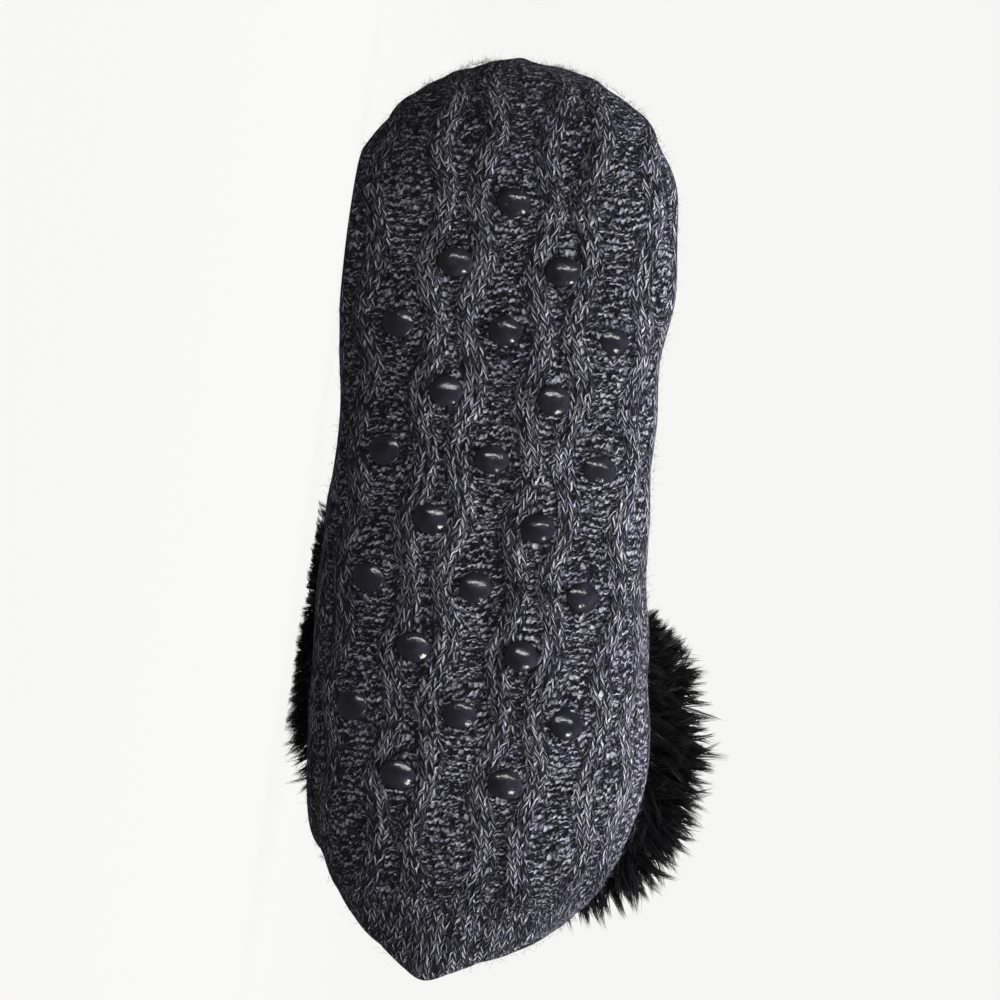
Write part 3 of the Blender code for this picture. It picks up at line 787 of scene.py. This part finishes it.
def grip_dots(material):
    """The printed dots: low domes, a little wider across the foot, each uneven at its rim."""
    sides = 40
    radii = [DOT_RADIUS * share for share in DOT_RINGS]
    rings = [(radius, math.sqrt(DOME_RADIUS**2 - radius**2) - DOME_RADIUS) for radius in radii]
    all_points, all_faces = [], []
    for base, normal in dot_frames():
        u = np.cross(normal, [0.0, 0.0, 1.0])
        u /= np.linalg.norm(u)
        w = np.cross(normal, u)
        turn = np.arange(sides) * 2 * math.pi / sides
        uneven = 1 + 0.025 * np.sin(turn * 2 + chance.uniform(0, 6))
        uneven = uneven + 0.018 * np.sin(turn * 5 + chance.uniform(0, 6))
        lean = chance.uniform(-0.00045, 0.00045, 2)
        swell = chance.uniform(0.75, 1.05)
        start = sum(len(p) for p in all_points)
        points = [base + normal * DOT_HEIGHT]
        profile = [(radius, DOT_HEIGHT + drop * swell) for radius, drop in rings]
        profile += [(DOT_RADIUS * 1.01, -0.0002), (DOT_RADIUS * 1.01, -0.0014)]
        for radius, height in profile:
            x, y = np.cos(turn) * radius * uneven * 0.97, np.sin(turn) * radius * uneven * 1.10
            rise = height + (x * lean[0] + y * lean[1]) / DOT_RADIUS
            points += list(base + x[:, None] * u + y[:, None] * w + rise[:, None] * normal)
        faces = []
        for j in range(sides):
            k = (j + 1) % sides
            faces.append((start, start + 1 + j, start + 1 + k))
            for i in range(len(profile) - 1):
                a, b = start + 1 + i * sides + j, start + 1 + i * sides + k
                faces += [(a, a + sides, b + sides), (a, b + sides, b)]
        all_points.append(np.array(points))
        all_faces += faces
    return mesh_object("grip_dots", np.concatenate(all_points), np.array(all_faces), material)


def fuzz(material):
    """Fine loose fibres that stand off the knit and soften its edge."""
    count, rings = FUZZ_FIBRES, 400
    t = np.interp(chance.uniform(0, 1, rings), [0, 1], [0.3, 20.5])
    t.sort()
    shares = np.linspace(0, 1, 121)
    grid = whole_rings(t, shares)[0]
    normals = normals_of(grid)
    i, j = chance.integers(1, rings - 1, count), chance.integers(0, grid.shape[1], count)
    root, normal = lay(grid[i, j]), laid_normals(normals[i, j])
    side = np.cross(normal, chance.normal(size=(count, 3)))
    side /= np.linalg.norm(side, axis=1, keepdims=True)
    way = side + normal * chance.uniform(0.1, 1.1, count)[:, None]
    way /= np.linalg.norm(way, axis=1, keepdims=True)
    bend = np.cross(way, chance.normal(size=(count, 3))) * 0.35
    root = root + normal * 0.0002
    points, triangles = ribbons(
        root, way, chance.uniform(0.0012, 0.0034, count), chance.uniform(0.00004, 0.00008, count), bend
    )
    points[:, 2] = np.maximum(points[:, 2], 0.0003)
    return mesh_object("fuzz", points, triangles, material, smooth=False)


def fuzz_material():
    material, tree, shader = new_material("yarn_fuzz", 0.9)
    shader.inputs["Specular IOR Level"].default_value = 0.1
    shades = cloudy(tree, object_place(tree), 700.0, 1.0)
    tree.links.new(colour_ramp(tree, shades, [
        (0.40, (0.010, 0.010, 0.014)),
        (0.60, (0.160, 0.160, 0.185)),
    ]), shader.inputs["Base Color"])
    return material


def placed(piece, slot, *nodes):
    """Puts a piece in the part's frame, in the place of these CAD nodes."""
    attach(piece, "root")
    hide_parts(*nodes)


def main():
    placed(knit_piece(knit_material()), "knit", "knitted_sock")
    placed(fuzz(fuzz_material()), "knit", "knitted_sock")
    placed(lining(lining_material()), "knit", "knitted_sock")
    frames = wale_frames()
    placed(fur_backing(frames, backing_material()), "fur", "fur_cuff")
    for locks in fur_locks(frames, fur_material()):
        placed(locks, "fur", "fur_cuff")
    placed(grip_dots(silicone_material()), "silicone", *[f"grip_dot_{i:02d}" for i in range(1, 24)])


def photo_camera():
    """A long lens square to the sole, rolled so that the foot stands as it does in the photo."""
    centre = lay(np.array([0.1322, 0.0061, -CAMERA_DISTANCE]))
    foot, wide = laid_normals(np.eye(3)[:2])
    steep, aside = TOE_LEAN
    up = Vector(steep * foot - aside * wide).normalized()
    right = Vector(aside * foot + steep * wide).normalized()
    back = right.cross(up)
    lens = bpy.data.cameras.new("camera")
    lens.sensor_width = 36
    lens.lens = lens.sensor_width * CAMERA_DISTANCE / PICTURE_WIDTH
    lens.clip_start = 0.05
    lens.clip_end = 20
    camera = bpy.data.objects.new("camera", lens)
    turn = Matrix((right, up, back)).transposed()
    camera.matrix_world = Matrix.Translation(Vector(centre)) @ turn.to_4x4()
    bpy.context.scene.collection.objects.link(camera)
    bpy.context.scene.camera = camera


def soft_light(name, place, aim, width, depth, watts, colour, glossy=True, diffuse=True):
    """An area light at a place, aimed at a point. It can be left out of gloss or of diffuse light."""
    lamp = bpy.data.lights.new(name, "AREA")
    lamp.shape = "RECTANGLE"
    lamp.size, lamp.size_y = width, depth
    lamp.energy = watts
    lamp.color = colour
    made = bpy.data.objects.new(name, lamp)
    made.visible_glossy, made.visible_diffuse = glossy, diffuse
    made.location = place
    made.rotation_euler = (Vector(aim) - Vector(place)).to_track_quat("-Z", "Y").to_euler()
    bpy.context.scene.collection.objects.link(made)


def turned_sheet(name, profile, material):
    """A sheet with this (radius, height) profile, turned round the middle of the floor."""
    turns = np.linspace(0, 2 * math.pi, 64, endpoint=False)
    points = [(r * math.cos(a), r * math.sin(a), z) for r, z in profile for a in turns]
    n = len(turns)
    quads = [
        (i * n + j, i * n + (j + 1) % n, (i + 1) * n + (j + 1) % n, (i + 1) * n + j)
        for i in range(len(profile) - 1)
        for j in range(n)
    ]
    return mesh_object(name, points, quads, material)


def studio():
    """A pale floor with a backdrop all round it, and soft lights."""
    material, tree, shader = new_material("pale_paper", 0.9)
    shader.inputs["Base Color"].default_value = (0.008, 0.008, 0.008, 1)
    shader.inputs["Specular IOR Level"].default_value = 0.0
    shader.inputs["Emission Color"].default_value = (0.920, 0.920, 0.903, 1)
    shader.inputs["Emission Strength"].default_value = 1.0
    # The paper glows evenly, so it must not light the sock from below or show in the dots.
    floor = turned_sheet("floor", [(0.0, 0.0), (0.5, 0.0), (2.0, 0.0), (6.0, 0.0)], material)
    floor.visible_diffuse = floor.visible_glossy = floor.visible_shadow = False
    wall = [(6.0 + 1.5 * math.sin(a), 1.5 - 1.5 * math.cos(a)) for a in np.linspace(0, math.pi / 2, 12)]
    backdrop = turned_sheet("backdrop", wall + [(7.5, 6.0), (4.0, 9.0), (0.0, 9.5)], material)
    backdrop.visible_diffuse = backdrop.visible_glossy = backdrop.visible_shadow = False
    soft_light("key", (0.80, -0.64, 0.66), (0, 0, 0.05), 0.18, 0.18, 6.5, (1.0, 0.99, 0.97))
    strip = (-0.66, -1.15, 0.25)
    soft_light("toe_strip", strip, (0, -0.04, 0.05), 0.08, 1.50, 17.0, (0.96, 0.97, 1.0), diffuse=False)
    soft_light("fill", (0.10, -1.30, 0.40), (0, 0, 0.05), 0.9, 0.9, 6.0, (0.98, 0.98, 1.0), glossy=False)
    soft_light("overhead", (0.0, -0.28, 0.95), (0, 0, 0.06), 0.9, 0.4, 29, (0.97, 0.96, 1.0), glossy=False)
    soft_light("back", (0.1, 1.10, 0.60), (0, 0, 0.06), 0.9, 0.6, 12, (1.0, 1.0, 1.0), glossy=False)
    world = bpy.data.worlds.new("studio")
    bpy.context.scene.world = world
    world.use_nodes = True
    world.node_tree.nodes["Background"].inputs[0].default_value = (0.97, 0.98, 1.0, 1)
    world.node_tree.nodes["Background"].inputs[1].default_value = 0.24
    bpy.context.scene.view_settings.view_transform = "Standard"


photo_camera()
studio()
main()
